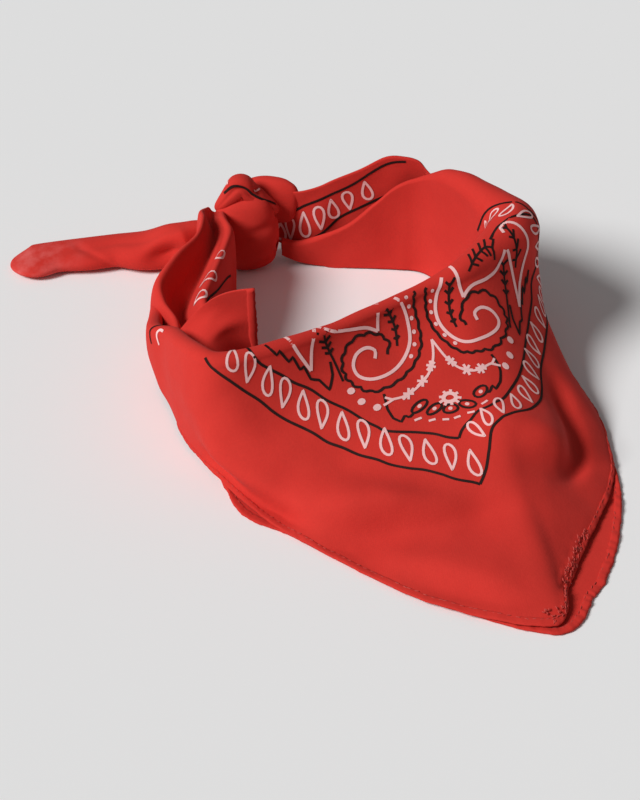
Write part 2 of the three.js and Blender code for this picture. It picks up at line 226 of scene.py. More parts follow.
def flapCloth(a, b):
    form = flapForm
    start = (form["lowStart"] + (form["highStart"] - form["lowStart"]) * b) / lastRow
    inside = np.full_like(a, legShare + rollShare * 1.3)
    left = neckCloth(start, inside) + outward(neckCloth, start, inside) * form["clear"]
    low, high = np.array(form["lowRight"]), np.array(form["highRight"])
    right = low + (high - low) * col(b)
    bow = np.sin(np.pi * a)
    sag = form["hollow"] * bow * (0.4 + 0.6 * np.sin(np.pi * b))
    rise = form["arch"] * bow * b
    return left + (right - left) * col(a) + np.stack([-0.35 * sag, 0.9 * sag, rise], axis=-1)


def softBody(rows):
    def place(a, b):   # a along the body, b once round it
        x, y, z, wide, high, side = readRows(rows, a)
        ahead = readRows(rows, np.minimum(1, a + 0.02))[:3].T
        behind = readRows(rows, np.maximum(0, a - 0.02))[:3].T
        way = unit(ahead - behind)
        across = heading(side)
        across = unit(across - way * col((across * way).sum(axis=-1)))
        lift = np.cross(way, across)
        round_ = np.maximum(0.12, np.sqrt(np.maximum(0, 1 - np.abs(2 * a - 1) ** 9)))
        turn = 2 * np.pi * b
        c, s = np.cos(turn), np.sin(turn)
        u = np.sign(c) * np.abs(c) ** (2 / 2.3) * wide * round_
        v = np.sign(s) * np.abs(s) ** (2 / 2.3) * high * round_
        p = np.stack([x, y, z], axis=-1) + across * col(u) + lift * col(v)
        p[:, 2] = np.maximum(0, p[:, 2])
        return p
    return place


def rumple(p, size, seed):
    return np.array([noise.noise(Vector(q / size) + Vector((seed, 0, 0))) for q in p])



def clothGrid(name, across, along, surface, shell, inside=True, closed=False):
    bm = bmesh.new()
    bmesh.ops.create_grid(bm, x_segments=across, y_segments=along, size=0.5)
    spots = np.array([v.co[:2] for v in bm.verts]) + 0.5
    places = surface(spots[:, 0], spots[:, 1])
    for v, p in zip(bm.verts, places):
        v.co = (p + shift) * mm
    lengths = bm.loops.layers.uv.new("cloth")   # metres along the cloth, for its weave
    bm.verts.index_update()
    middle = surface(np.linspace(0, 1, across + 1), np.full(across + 1, 0.4))
    acrossLength = np.linalg.norm(np.diff(middle, axis=0), axis=1).sum() * mm
    middle = surface(np.full(along + 1, 0.4), np.linspace(0, 1, along + 1))
    alongLength = np.linalg.norm(np.diff(middle, axis=0), axis=1).sum() * mm
    metric = spots * np.array([acrossLength, alongLength])
    for face in bm.faces:
        for loop in face.loops:
            loop[lengths].uv = metric[loop.vert.index]
    if closed:
        bmesh.ops.remove_doubles(bm, verts=bm.verts, dist=0.00002)
        bmesh.ops.recalc_face_normals(bm, faces=bm.faces)
    return finishMesh(name, bm, shell)


def finishMesh(name, bm, shell=0.0):
    mesh = bpy.data.meshes.new(name)
    bm.to_mesh(mesh)
    bm.free()
    mesh.shade_smooth()
    piece = bpy.data.objects.new(name, mesh)
    bpy.context.scene.collection.objects.link(piece)
    if shell:
        skin = piece.modifiers.new("thickness", "SOLIDIFY")
        skin.thickness = shell * mm
        skin.offset = -1
    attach(piece, "root")
    return piece


# The front of the cloth: folds as soft troughs and ridges on the plain form.
frontGrid = {"across": 300, "along": 150, "shell": 0.7}
frontA = np.repeat(np.linspace(0, 1, frontGrid["across"] + 1), frontGrid["along"] + 1)
frontB = np.tile(np.linspace(0, 1, frontGrid["along"] + 1), frontGrid["across"] + 1)
gridShape = (frontGrid["across"] + 1, frontGrid["along"] + 1)
plainFront = neckCloth(frontA, frontB).reshape(*gridShape, 3)
stepLength = np.linalg.norm(np.diff(plainFront, axis=1), axis=2)
frontLength = np.concatenate([np.zeros((gridShape[0], 1)), np.cumsum(stepLength, axis=1)], axis=1)


def gridNormals(grid):
    return unit(np.cross(np.gradient(grid, axis=0), np.gradient(grid, axis=1)))


def onGrid(grid, normals, row, s, lift=0.0):
    place = min(max(row / lastRow, 0), 1) * frontGrid["across"]
    i = min(frontGrid["across"] - 1, int(place))
    found = []
    for k in (i, i + 1):
        lengths = frontLength[k]
        j = min(max(int(np.searchsorted(lengths, s)) - 1, 0), frontGrid["along"] - 1)
        f = (s - lengths[j]) / max(1e-6, lengths[j + 1] - lengths[j])
        n = normals[k, j] + (normals[k, j + 1] - normals[k, j]) * min(max(f, 0), 1)
        found.append(grid[k, j] + (grid[k, j + 1] - grid[k, j]) * f + n * lift)
    return found[0] + (found[1] - found[0]) * (place - i)


def softPath(points, steps):
    return readRows(points, np.linspace(0, 1, steps)).T


# path: (row of the neck edge, millimetres up from the hem); rise: its height, wide: its half width on the
# side to the left and to the right of the way it runs; ends: share of its length that fades at each end
frontFolds = {
    "bigRidge": {"path": [(6.0, 10), (6.47, 19), (7.04, 31), (7.67, 49), (8.3, 62), (8.8, 68)],
                 "rise": 5.4, "wide": (15, 9), "ends": 0.45},
    "underTrough": {"path": [(6.21, 6), (6.99, 14), (7.62, 31), (8.24, 47), (8.71, 58), (9.29, 64)],
                    "rise": -5.2, "wide": (8, 14), "ends": 0.3},
    "overTrough": {"path": [(5.84, 27), (6.57, 42), (7.1, 50), (7.67, 58), (8.1, 62), (8.6, 66), (9.2, 66), (10, 58)],
                   "rise": -3.6, "wide": (12, 9), "ends": 0.3},
    "bulge": {"path": [(9.5, 92), (9.9, 82), (10.35, 70), (10.8, 58), (11.1, 48)],
              "rise": 5.4, "wide": (15, 13), "ends": 0.2},
    "bulgeRidge": {"path": [(10.3, 66), (10.75, 54), (11.05, 43)], "rise": 2.2, "wide": (8, 7), "ends": 0.35},
    "bulgeTrough": {"path": [(9.9, 64), (10.3, 54), (10.7, 42), (11.0, 31)], "rise": -1.2, "wide": (8, 7), "ends": 0.4},
    "bulgeCrease": {"path": [(11.55, 74), (11.6, 60), (11.6, 47), (11.6, 37), (11.48, 29), (11.22, 28), (10.85, 35)],
                    "rise": -4.4, "wide": (4, 7.5), "ends": 0.25},
    "flareRidge": {"path": [(12.3, 86), (12.2, 64), (12.25, 40), (12.4, 16)], "rise": 2.4, "wide": (14, 14), "ends": 0.3},
    "flareSoft": {"path": [(13.0, 66), (13.0, 40), (12.9, 12)], "rise": -2.2, "wide": (12, 12), "ends": 0.3},
    "leftCrease": {"path": [(4.0, 12), (4.3, 9), (4.7, 7), (5.17, 6.5), (5.6, 6.5), (6.05, 8), (6.5, 10)],
                   "rise": -4.8, "wide": (5, 3.2), "ends": 0.25},
    "leftPuff": {"path": [(4.1, 22), (4.7, 17), (5.3, 15), (5.9, 16)], "rise": 3.0, "wide": (9, 7), "ends": 0.35},
    "leftSoft": {"path": [(4.33, 42), (4.8, 36), (5.32, 30), (5.69, 24)], "rise": -1.1, "wide": (8, 6), "ends": 0.35},
    "leftSoftRidge": {"path": [(3.9, 38), (4.4, 30), (4.9, 25)], "rise": 1.2, "wide": (8, 8), "ends": 0.35},
    "lowTrough": {"path": [(7.3, 8), (7.93, 8), (8.3, 9), (8.8, 9)], "rise": -1.8, "wide": (7, 4), "ends": 0.35},
    "lowRidge": {"path": [(7.3, 18), (7.88, 21), (8.24, 22), (8.8, 20)], "rise": 1.6, "wide": (9, 7), "ends": 0.35},
    "sideSoft": {"path": [(8.45, 54), (8.71, 41), (8.92, 26), (9.03, 11)], "rise": -1.2, "wide": (14, 10), "ends": 0.35},
    "rimDip": {"path": [(7.0, 84), (7.6, 104), (8.2, 130)], "rise": -1.0, "wide": (14, 14), "ends": 0.4},
    "capRidge": {"path": [(11.2, 150), (12.2, 138), (13.0, 120)], "rise": 1.2, "wide": (8, 8), "ends": 0.4},
}
legTop = legShare + rollShare * 0.5


def folded(grid, folds):
    normals = gridNormals(grid)
    gap = np.zeros(gridShape)
    outer = np.broadcast_to(np.linspace(0, 1, gridShape[1]) < legTop, gridShape)
    power = 10   # how closely the soft maximum over a fold's path keeps to the nearest part of it
    for fold in folds.values():
        line = np.array([onGrid(grid, normals, r, s) for r, s in softPath(fold["path"], 40)])
        way = unit(np.gradient(line, axis=0))
        step = np.linalg.norm(np.diff(line, axis=0), axis=1).mean()
        left, right = fold["wide"]
        reach = 2.6 * max(left, right)
        near = outer & (np.abs(grid - (line.max(axis=0) + line.min(axis=0)) / 2).max(axis=2)
                        < reach + np.ptp(line, axis=0).max() / 2)
        p, n = grid[near], normals[near]
        share = np.linspace(0, 1, len(line))
        fade = np.clip(np.minimum(share, 1 - share) / fold["ends"], 0, 1)
        total = np.zeros(len(p))
        for spot, w, k in zip(line, way, fade * fade * (3 - 2 * fade)):
            apart = p - spot
            d = np.linalg.norm(apart, axis=1)
            side = (np.cross(n, w) * apart).sum(axis=1) / np.maximum(d, 1e-6)
            wide = right + (left - right) * (0.5 + 0.5 * side)
            total += (k * np.exp(-(d / wide) ** 2)) ** power
        crowd = max(1, math.sqrt(math.pi / power) * (left + right) / 2 / step)
        gap[near] += fold["rise"] * (total / crowd) ** (1 / power)
    return grid + normals * gap[..., None]


def uneven(grid, rises, seed):
    normals = gridNormals(grid)
    flat = grid.reshape(-1, 3)
    wave = sum(rise * np.array([noise.noise(Vector(p / size) + Vector((seed, 0, 0))) for p in flat])
               for size, rise in rises)
    return grid + normals * wave.reshape(*grid.shape[:2], 1)


frontCloth = uneven(folded(plainFront, frontFolds), [(34, 1.4), (13, 0.45)], 3.7)
# the hem by the corner has drawn up in small puckers
rowOf = np.linspace(0, lastRow, gridShape[0])[:, None]
drawn = np.clip(1 - np.abs(rowOf - 9.95) / 1.15, 0, 1) ** 0.5 * np.exp(-((frontLength - 4.5) / 4.5) ** 2)
puckers = np.array([noise.noise(Vector(q / 4.2)) + 0.6 * noise.noise(Vector(q / 2.3)) for q in frontCloth.reshape(-1, 3)])
frontCloth = frontCloth + gridNormals(frontCloth) * (drawn * (0.4 + 1.5 * puckers.reshape(gridShape)))[..., None]
clearTable = np.where(np.linspace(0, 1, gridShape[0]) < 0.6, hemRest + 0.5, 0.75)[:, None]
frontCloth[..., 2] = np.maximum(frontCloth[..., 2], clearTable)
frontNormals = gridNormals(frontCloth)
say("folds of the front")


def frontSurface(a, b):
    i = np.rint(a * frontGrid["across"]).astype(int)
    j = np.rint(b * frontGrid["along"]).astype(int)
    return frontCloth[i, j]


front = clothGrid("cloth_front", frontGrid["across"], frontGrid["along"], frontSurface, frontGrid["shell"])
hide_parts("front_drape", "inner_band")

lowerStart, lowerEnd = 3.4 / lastRow, 13.2 / lastRow


def frontAt(a, b, lift=0.0):
    x, y = np.clip(a, 0, 1) * frontGrid["across"], np.clip(b, 0, 1) * frontGrid["along"]
    i = np.minimum(frontGrid["across"] - 1, x.astype(int))
    j = np.minimum(frontGrid["along"] - 1, y.astype(int))
    f, g = col(x - i), col(y - j)
    grid = frontCloth + frontNormals * lift
    return (grid[i, j] * (1 - f) + grid[i + 1, j] * f) * (1 - g) + (grid[i, j + 1] * (1 - f) + grid[i + 1, j + 1] * f) * g


def lowerSurface(a, b):
    flat = 0.3
    a = lowerStart + (lowerEnd - lowerStart) * a
    under = readRows(hemEdge, a)[6]
    zero = np.zeros_like(a)
    foot = frontAt(a, zero)
    run = neckCloth(a + 0.004, zero) - neckCloth(a - 0.004, zero)
    out = unit(np.stack([run[:, 1], -run[:, 0], zero], axis=-1))
    edge = foot + out * col(under)
    share = legShare * np.where(b < flat, 0.06, 0.06 + 0.66 * (b - flat) / (1 - flat))
    rise = frontAt(a, share, -1.6)
    p = np.where(col(b < flat), edge + (rise - edge) * col(b / flat), rise)
    ripple = 0.22 * (1 + np.sin(a * 61) * np.sin(a * 23 + 1)) * np.clip(1 - b / 0.12, 0, 1)
    p[:, 2] = np.where(b < flat, 0.8, np.maximum(0.8, p[:, 2])) + ripple
    return p


lower = clothGrid("cloth_lower", 260, 50, lowerSurface, 0.7)
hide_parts("lower_layer")


def backSurface(a, b):
    soft = np.sin(a * 23 + b * 3.0 + 0.6) * 0.9 + np.sin(a * 41 - b * 4.0) * 0.4
    return backLayer(a, b) + np.array([0, 1, 0]) * col(soft * np.sin(np.pi * np.clip(b * 1.1, 0, 1)) * np.clip(a / 0.2, 0, 1))


back = clothGrid("cloth_back", 130, 40, backSurface, 0.7)
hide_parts("back_layer")


def strandSurface(a, b):
    p = strandCloth(a, b)
    pull = np.sin(np.pi * a)
    ripple = np.sin(b * 41 + a * 5) * 0.5 + np.sin(b * 23 - a * 7) * 0.7
    return p + up * col(ripple * pull * np.sin(np.pi * b))


strand = clothGrid("left_strand_cloth", 130, 110, strandSurface, 0.7)
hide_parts("left_strand")


def flapSurface(a, b):
    p = flapCloth(a, b)
    crease = np.exp(-((b - 0.35 - 0.3 * a) / 0.1) ** 2) * 1.6 * np.sin(np.pi * a)
    return p + np.array([0.3, -0.8, 0.2]) * col(crease)


flap = clothGrid("flap_cloth", 70, 70, flapSurface, 0.7)
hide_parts("neck_flap")


def bodyPiece(name, rows, rings, around, creases, node):
    form = softBody(rows)

    def surface(a, b):
        p = form(a, b)
        middle = readRows(rows, a)[:3].T
        out = unit(p - middle)
        ease = np.clip(np.minimum(a, 1 - a) / 0.12, 0, 1)
        for c in creases:   # at: place along, turn: place round, rise, wide along and round
            ahead = (a - c["at"] - c.get("slant", 0) * (b - c["turn"])) / c["wide"][0]
            round_ = ((b - c["turn"] + 0.5) % 1 - 0.5) / c["wide"][1]
            p = p + out * col(c["rise"] * ease * np.exp(-ahead ** 2 - round_ ** 2))
        p[:, 2] = np.maximum(0.5, p[:, 2])
        return p

    piece = clothGrid(name, rings, around, surface, 0.5, closed=True)
    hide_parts(node)
    return piece, surface


wrapCreases = [
    {"at": 0.3, "turn": 0.9, "rise": -1.6, "wide": (0.08, 0.2), "slant": 0.7},
    {"at": 0.62, "turn": 0.86, "rise": -1.2, "wide": (0.06, 0.16), "slant": 0.5},
    {"at": 0.5, "turn": 0.62, "rise": -1.4, "wide": (0.3, 0.04)},
]
overCreases = [
    {"at": 0.6, "turn": 0.43, "rise": -1.2, "wide": (0.4, 0.035)}, {"at": 0.71, "turn": 0.31, "rise": -1.6, "wide": (0.05, 0.03)},
    {"at": 0.35, "turn": 0.3, "rise": 0.7, "wide": (0.16, 0.05)},
]
backCreases = [
    {"at": 0.45, "turn": 0.05, "rise": -2.2, "wide": (0.4, 0.05)}, {"at": 0.5, "turn": 0.3, "rise": -1.6, "wide": (0.35, 0.05)},
    {"at": 0.55, "turn": 0.88, "rise": -1.8, "wide": (0.3, 0.04)}, {"at": 0.3, "turn": 0.18, "rise": 1.2, "wide": (0.12, 0.06)},
]
tailCreases = [
    {"at": 0.345, "turn": 0.53, "rise": -6.0, "wide": (0.07, 0.09)},
    {"at": 0.25, "turn": 0.62, "rise": 1.6, "wide": (0.06, 0.1)},
    {"at": 0.65, "turn": 0.64, "rise": -1.3, "wide": (0.02, 0.14), "slant": 0.39},
    {"at": 0.5, "turn": 0.72, "rise": -0.9, "wide": (0.3, 0.04)},
    {"at": 0.85, "turn": 0.6, "rise": -0.7, "wide": (0.1, 0.03)},
]
wrap, wrapSurface = bodyPiece("knot_wrap_cloth", wrapRows, 90, 120, wrapCreases, "knot_wrap")
over, overSurface = bodyPiece("knot_over_cloth", overRows, 70, 60, overCreases, "knot_over")
turnBack, turnSurface = bodyPiece("knot_back_cloth", backTurnRows, 70, 80, backCreases, "knot_back")
tail, tailSurface = bodyPiece("tail_cloth", tailRows, 160, 90, tailCreases, "tail")
say("cloth")


# The print lies on the cloth as thin ribbons. Border lines: (row of the neck edge, millimetres from the hem),
# from the corner of the border outwards.
outerLeft = [
    (8.71, 72.8), (8.61, 72.8), (8.40, 71.2), (8.24, 71.0), (8.03, 69.6), (7.83, 66.8), (7.62, 64.1),
    (7.46, 62.9), (7.25, 60.1), (7.04, 58.6), (6.83, 56.5), (6.63, 56.5), (6.31, 55.4), (6.10, 55.8),
    (5.90, 57.5), (5.63, 58.5), (5.32, 60.1), (4.96, 61.2), (4.59, 62.5),
]
outerRight = [
    (8.71, 72.8), (8.87, 80.7), (9.03, 89.3), (9.23, 96.5), (9.55, 94.1), (9.91, 87.1), (10.38, 79.0),
    (10.70, 75.4), (10.96, 73.8), (11.17, 75.8), (11.43, 81.4), (11.95, 82.4), (12.73, 74.1), (12.68, 80.6),
    (12.68, 89.6), (12.63, 101.2), (12.68, 114.5), (12.73, 119.9), (12.94, 119.7), (13.15, 120),
    (13.41, 116), (13.62, 114), (13.98, 111),
]
innerLeft = [
    (8.61, 94.5), (8.45, 92.9), (8.30, 92.0), (8.14, 89.8), (7.93, 86.3), (7.62, 79.9), (7.51, 79.2),
    (7.36, 78.2), (7.15, 77.8), (6.89, 76.1), (6.68, 76.4), (6.47, 74.9), (6.31, 75.1), (6.16, 75.0),
    (6.00, 75.3), (5.90, 77.5), (5.84, 81.0),
]
innerRight = [
    (8.61, 94.5), (8.71, 100.2), (8.87, 105.1), (9.13, 109.1), (9.55, 103.5), (9.91, 97.0), (10.28, 95.2),
    (10.59, 95.0), (10.85, 96.6), (11.01, 97.9), (11.22, 100.0), (11.43, 101.8), (11.69, 104.0),
    (11.84, 108.9), (12.16, 107.2), (12.31, 110.2), (12.37, 115.3), (12.47, 117.3), (12.52, 123.8),
    (12.16, 135.1), (11.69, 145.5), (11.06, 151.1),
]

# Where spots of the flat cloth come to lie: u to the side of its middle and v up from its corner, in
# millimetres, then the row of the neck edge and the millimetres from the hem.
clothMarks = [
    (0, 110, 8.61, 94), (-8, 118, 8.30, 92), (-18, 128, 7.93, 86), (-30, 140, 7.51, 79),
    (-42, 152, 7.15, 78), (-57, 167, 6.68, 76), (-69, 179, 6.31, 75), (-78, 188, 6.00, 75),
    (-86, 196, 5.84, 81), (0, 134, 8.71, 119), (0, 196, 8.82, 172), (0, 166, 8.77, 146),
    (-8, 196, 8.40, 164), (-18, 196, 8.00, 150), (-33, 196, 7.50, 132), (-50, 196, 7.00, 111),
    (-66, 196, 6.50, 95), (-78, 196, 6.10, 84), (-39, 161, 7.30, 92), (-36, 154, 7.36, 87),
    (-30, 149, 7.57, 91), (-32, 174, 7.57, 113), (-32, 164, 7.57, 104), (-11, 176, 8.30, 141),
    (-27, 185, 7.72, 129), (-57, 177, 6.73, 86), (-49, 164, 6.94, 82), (-26, 150, 7.72, 97),
    (-18, 148, 8.03, 107), (-11, 150, 8.30, 118), (-6, 152, 8.50, 127), (-31, 157, 7.57, 98),
    (-42, 178, 7.25, 104), (-34, 184, 7.51, 120), (-28, 153, 7.67, 99), (-22, 135, 7.83, 89),
    (-13, 138, 8.19, 105), (-9, 133, 8.35, 106), (-20, 192, 7.93, 144), (-20, 174, 7.98, 129),
    (-50, 187, 6.99, 103), (-44, 166, 7.15, 91), (4, 114, 8.71, 100), (8, 118, 8.87, 105),
    (14, 124, 9.13, 109), (19, 129, 9.55, 103), (24, 134, 9.91, 97), (32, 142, 10.28, 95),
    (39, 149, 10.59, 95), (48, 158, 10.85, 97), (53, 163, 11.01, 98), (61, 171, 11.22, 100),
    (69, 179, 11.43, 102), (78, 188, 11.69, 104), (86, 196, 11.84, 109), (39, 161, 10.85, 112),
    (36, 154, 10.75, 107), (30, 149, 10.49, 106), (32, 174, 10.17, 133), (32, 164, 9.70, 131),
    (11, 176, 8.82, 157), (27, 185, 9.81, 151), (57, 177, 11.37, 117), (49, 164, 11.17, 109),
    (26, 150, 10.07, 109), (18, 148, 9.70, 120), (11, 150, 9.23, 132), (6, 152, 8.92, 136),
    (31, 157, 9.60, 128), (42, 178, 10.59, 118), (34, 184, 10.38, 140), (28, 153, 10.23, 114),
    (22, 135, 10.17, 104), (13, 138, 9.29, 117), (9, 133, 8.92, 115), (20, 192, 9.39, 168),
    (20, 174, 9.39, 149), (50, 187, 10.96, 137), (44, 166, 10.85, 117), (52, 197, 11.11, 142),
    (24, 197, 9.91, 164), (15, 197, 9.18, 174), (38, 204, 10.80, 158), (66, 197, 11.74, 126),
    (38, 197, 10.43, 154),
]


def flatMap(marks):
    marks = np.array(marks, float)
    flat, held = marks[:, :2], marks[:, 2:] * np.array([20, 1])

    def pull(q):
        d = np.linalg.norm(q[:, None] - flat[None], axis=2)
        return d * d * np.log(d + 1e-9)

    n = len(marks)
    side = np.c_[np.ones(n), flat]
    whole = np.block([[pull(flat) + np.eye(n) * 300, side], [side.T, np.zeros((3, 3))]])
    weights = np.linalg.solve(whole, np.r_[held, np.zeros((3, 2))])

    def place(points):
        points = np.atleast_2d(np.array(points, float))
        return (pull(points) @ weights[:n] + np.c_[np.ones(len(points)), points] @ weights[n:]) / np.array([20, 1])
    return place


toFront = flatMap(clothMarks)
rimLength = [float(np.interp(legTop, np.linspace(0, 1, gridShape[1]), frontLength[k])) for k in range(gridShape[0])]


def spotsOnFront(held, lift):
    spots = []
    for row, s in held:
        p = onGrid(frontCloth, frontNormals, row, s, lift)
        n = onGrid(frontCloth, frontNormals, row, s, lift + 1.0) - p
        spots.append((p, n))
    return spots


def underRim(held, over):
    runs, run = [], []
    for row, s in held:
        k = min(max(int(round(row / lastRow * frontGrid["across"])), 0), frontGrid["across"])
        if s < rimLength[k] + over:
            run.append((row, s))
        elif run:
            runs.append(run)
            run = []
    return [r for r in runs + [run] if len(r) > 1]


def ribbon(bm, spots, width, closed=False):
    points = np.array([p for p, n in spots])
    normals = unit(np.array([n for p, n in spots]))
    if closed:
        way = np.roll(points, -1, axis=0) - np.roll(points, 1, axis=0)
    else:
        way = np.gradient(points, axis=0)
    side = unit(np.cross(normals, way))
    widths = np.broadcast_to(width, len(points))
    made = bmesh.ops.create_grid(bm, x_segments=len(points) - (0 if closed else 1), y_segments=1, size=0.5)["verts"]
    steps = len(points) - (0 if closed else 1)
    for v in made:
        k = int(round((v.co.x + 0.5) * steps)) % len(points)
        v.co = (points[k] + side[k] * widths[k] * v.co.y + shift) * mm


def evenly(points, step, closed=False, corners=False):
    points = np.array(points, float)
    if closed:
        points = np.vstack([points, points[:1]])
    if not corners:
        points = softPath(points, len(points) * 8)
    lengths = np.concatenate([[0], np.cumsum(np.linalg.norm(np.diff(points, axis=0), axis=1))])
    count = max(3, int(lengths[-1] / step) + 1)
    at = np.linspace(0, lengths[-1], count)
    even = np.stack([np.interp(at, lengths, points[:, k]) for k in range(points.shape[1])], axis=1)
    return even[:-1] if closed else even


printBlack = bmesh.new()
printWhite = bmesh.new()
ink = {"black": (printBlack, 0.16), "white": (printWhite, 0.22)}


def flatStroke(colour, path, width, closed=False, mirror=True, corners=False, step=1.3):
    bm, lift = ink[colour]
    path = evenly(path, step, closed, corners)
    for sign in ((1, -1) if mirror else (1,)):
        held = toFront(path * np.array([sign, 1]))
        if closed:
            if len(underRim(held, 14)) == 1 and len(underRim(held, 14)[0]) == len(held):
                ribbon(bm, spotsOnFront(held, lift), width, True)
            continue
        widths = np.broadcast_to(width, len(path)) if np.ndim(width) else np.full(len(path), width)
        for run in underRim(held, 14):
            ribbon(bm, spotsOnFront(run, lift), widths[0] if not np.ndim(width) else widths[:len(run)])


def flatDot(colour, centre, radius, mirror=True):
    turn = np.linspace(0, 2 * np.pi, 12, endpoint=False)
    around = np.stack([np.cos(turn), np.sin(turn)], axis=1) * radius * 0.5
    flatStroke(colour, np.array(centre) + around, radius, closed=True, mirror=mirror, corners=True, step=radius * 0.3)


def leafSprig(path, leaves, size, bare=0.0):
    line = evenly(path, 1.0)
    flatStroke("black", line, 1.1)
    way = unit(np.gradient(line, axis=0))
    for k in range(leaves):
        at = int((len(line) - 1) * (1 - bare) * (k + 0.3) / leaves)
        for turn in (55, -55):
            c, s_ = math.cos(math.radians(turn)), math.sin(math.radians(turn))
            out = np.array([way[at][0] * c - way[at][1] * s_, way[at][0] * s_ + way[at][1] * c])
            reach = size * (1.0 - 0.12 * k)
            flatStroke("black", [line[at], line[at] - out * reach * 0.5, line[at] - out * reach], 1.2, corners=True)


def fieldPrint():
    paisley = [(16, 198), (12.5, 191), (10.8, 182), (12.4, 173), (17.5, 166.6), (24.5, 163.4), (32, 163.4), (37.4, 166.8),
               (39.4, 172.4), (37.8, 177.6), (33.4, 179.4), (29.8, 177), (30.4, 173.2)]
    flatStroke("white", paisley, 1.5)
    ring = evenly([(4.5, 196), (5.4, 187), (5.2, 177), (8, 168), (14.5, 161), (22.5, 158), (31, 157.5), (37, 161.5),
                   (41.8, 168), (43.2, 175), (41.2, 181), (36.2, 184.6), (30.6, 184.4), (25.8, 181.4), (23.6, 177), (25.6, 173.4)],
                  0.8)
    way = unit(np.gradient(ring, axis=0))
    lengths = np.arange(len(ring)) * 0.8
    scallop = np.abs(np.sin(np.pi * lengths / 5.2)) * 1.2
    flatStroke("black", ring + np.stack([way[:, 1], -way[:, 0]], axis=1) * scallop[:, None] * 1.0, 1.3, corners=True)
    for spot in ((9.2, 193), (8.2, 187), (7.9, 181), (8.8, 175), (10.8, 169.6), (14.2, 165.2)):
        flatDot("white", spot, 1.05)
    leafSprig([(20.5, 193), (19, 187), (18.4, 181), (19.5, 174)], 5, 3.6)
    flatStroke("white", [(24, 199), (25, 192), (26.5, 184.6)], 1.5)
    flatStroke("white", [(26.5, 184.6), (31.5, 188), (39, 189.6), (46, 191.8), (52, 198)], 1.5)
    flatStroke("white", [(53.5, 198), (56.4, 188), (57, 176.6)], 1.5)
    flatStroke("white", [(57, 176.6), (59.6, 182), (62, 187)], 1.5, mirror=False)
    flatStroke("white", [(-57, 176.6), (-62, 187), (-66.5, 198)], 1.5, mirror=False)
    leafSprig([(50.4, 192), (49.6, 186), (46.6, 176), (43.8, 166.4)], 4, 3.8, bare=0.5)
    flatStroke("black", [(76, 196), (71, 189.5), (70, 191.5), (66, 184.5), (64.4, 186.4), (61.4, 178.6), (60, 180),
                         (57, 172.4), (53.6, 170.8), (49.2, 164), (48, 171), (48.8, 178)], 1.2, corners=True)
    for spot in ((40.6, 160.4), (36.4, 153.6), (30.4, 148.4)):
        flatDot("white", spot, 1.7)
    flatStroke("white", [(0, 167.5), (3.4, 158.5), (7.2, 152.8), (12, 149.6), (18, 148), (24.6, 149.6)], 1.1)
    for spot, size in (((5.6, 155.4), 2.7), ((11.2, 150.4), 2.9), ((18, 148.2), 2.8)):
        for turn in (35, 95, 155):
            c, s_ = math.cos(math.radians(turn)) * size, math.sin(math.radians(turn)) * size
            flatStroke("white", [(spot[0] - c, spot[1] - s_), spot, (spot[0] + c, spot[1] + s_)], 1.2, corners=True)
    flatStroke("white", [(24.4, 149.4), (27.6, 152)], 1.1, corners=True)
    flatStroke("white", [(24.4, 149.4), (28, 148.4)], 1.1, corners=True)
    turn = np.linspace(0, 2 * np.pi, 16, endpoint=False)
    gear = np.stack([np.cos(turn) * 2.9, np.sin(turn) * 2.9 + 135.5], axis=1)
    flatStroke("white", gear, 1.8, closed=True, mirror=False)
    for t in np.linspace(0, 2 * np.pi, 9, endpoint=False):
        d = np.array([math.cos(t), math.sin(t)])
        middle = np.array([0, 135.5])
        flatStroke("white", [middle + d * 3.4, middle + d * 4.3, middle + d * 5.2], 1.3, mirror=False, corners=True)
    for spot, radius in (((13.8, 138), 3.0), ((7.4, 131.6), 3.0), ((0, 128.4), 3.0)):
        loop = np.stack([np.cos(turn) * radius * 1.15 + spot[0], np.sin(turn) * radius * 0.9 + spot[1]], axis=1)
        flatStroke("black", loop, 1.2, closed=True, mirror=spot[0] > 0)
        flatDot("white", spot, 1.0, mirror=spot[0] > 0)
    flatStroke("black", [(28, 154), (26.6, 146), (24.4, 139.6), (21.4, 135.2), (20, 138), (18.2, 135.2), (16.6, 136)], 1.2,
               corners=True)
    for spot in ((14.6, 131), (8.6, 125.4), (2.6, 122.4)):
        flatStroke("white", [(spot[0] + 1.5, spot[1] + 0.5), spot, (spot[0] - 1.5, spot[1] - 0.5)], 1.1, corners=True)


fieldPrint()


def heldLine(colour, line, width, over=4):
    bm, lift = ink[colour]
    line = np.array(line)
    points = softPath(line, len(line) * 14)
    for run in underRim(points, over):
        ribbon(bm, spotsOnFront(run, lift), width)


for line in (outerLeft, outerRight, innerLeft, innerRight):
    heldLine("black", line, 1.25, 30)


def drop(size):
    t = np.linspace(0, 2 * np.pi, 20, endpoint=False)
    return np.stack([np.sin(t) * np.sin(t / 2) ** 1.4 * size[0], np.cos(t) * size[1]], axis=1)


def slopesAt(held):
    place = [onGrid(frontCloth, frontNormals, *(held + q)) for q in ((-0.05, 0), (0.05, 0), (0, -1.0), (0, 1.0))]
    return np.stack([(place[1] - place[0]) / 0.1, (place[3] - place[2]) / 2], axis=1)


def stepped(held, move):
    for part in range(3):
        held = held + np.linalg.lstsq(slopesAt(held), move / 3, rcond=None)[0]
    return held


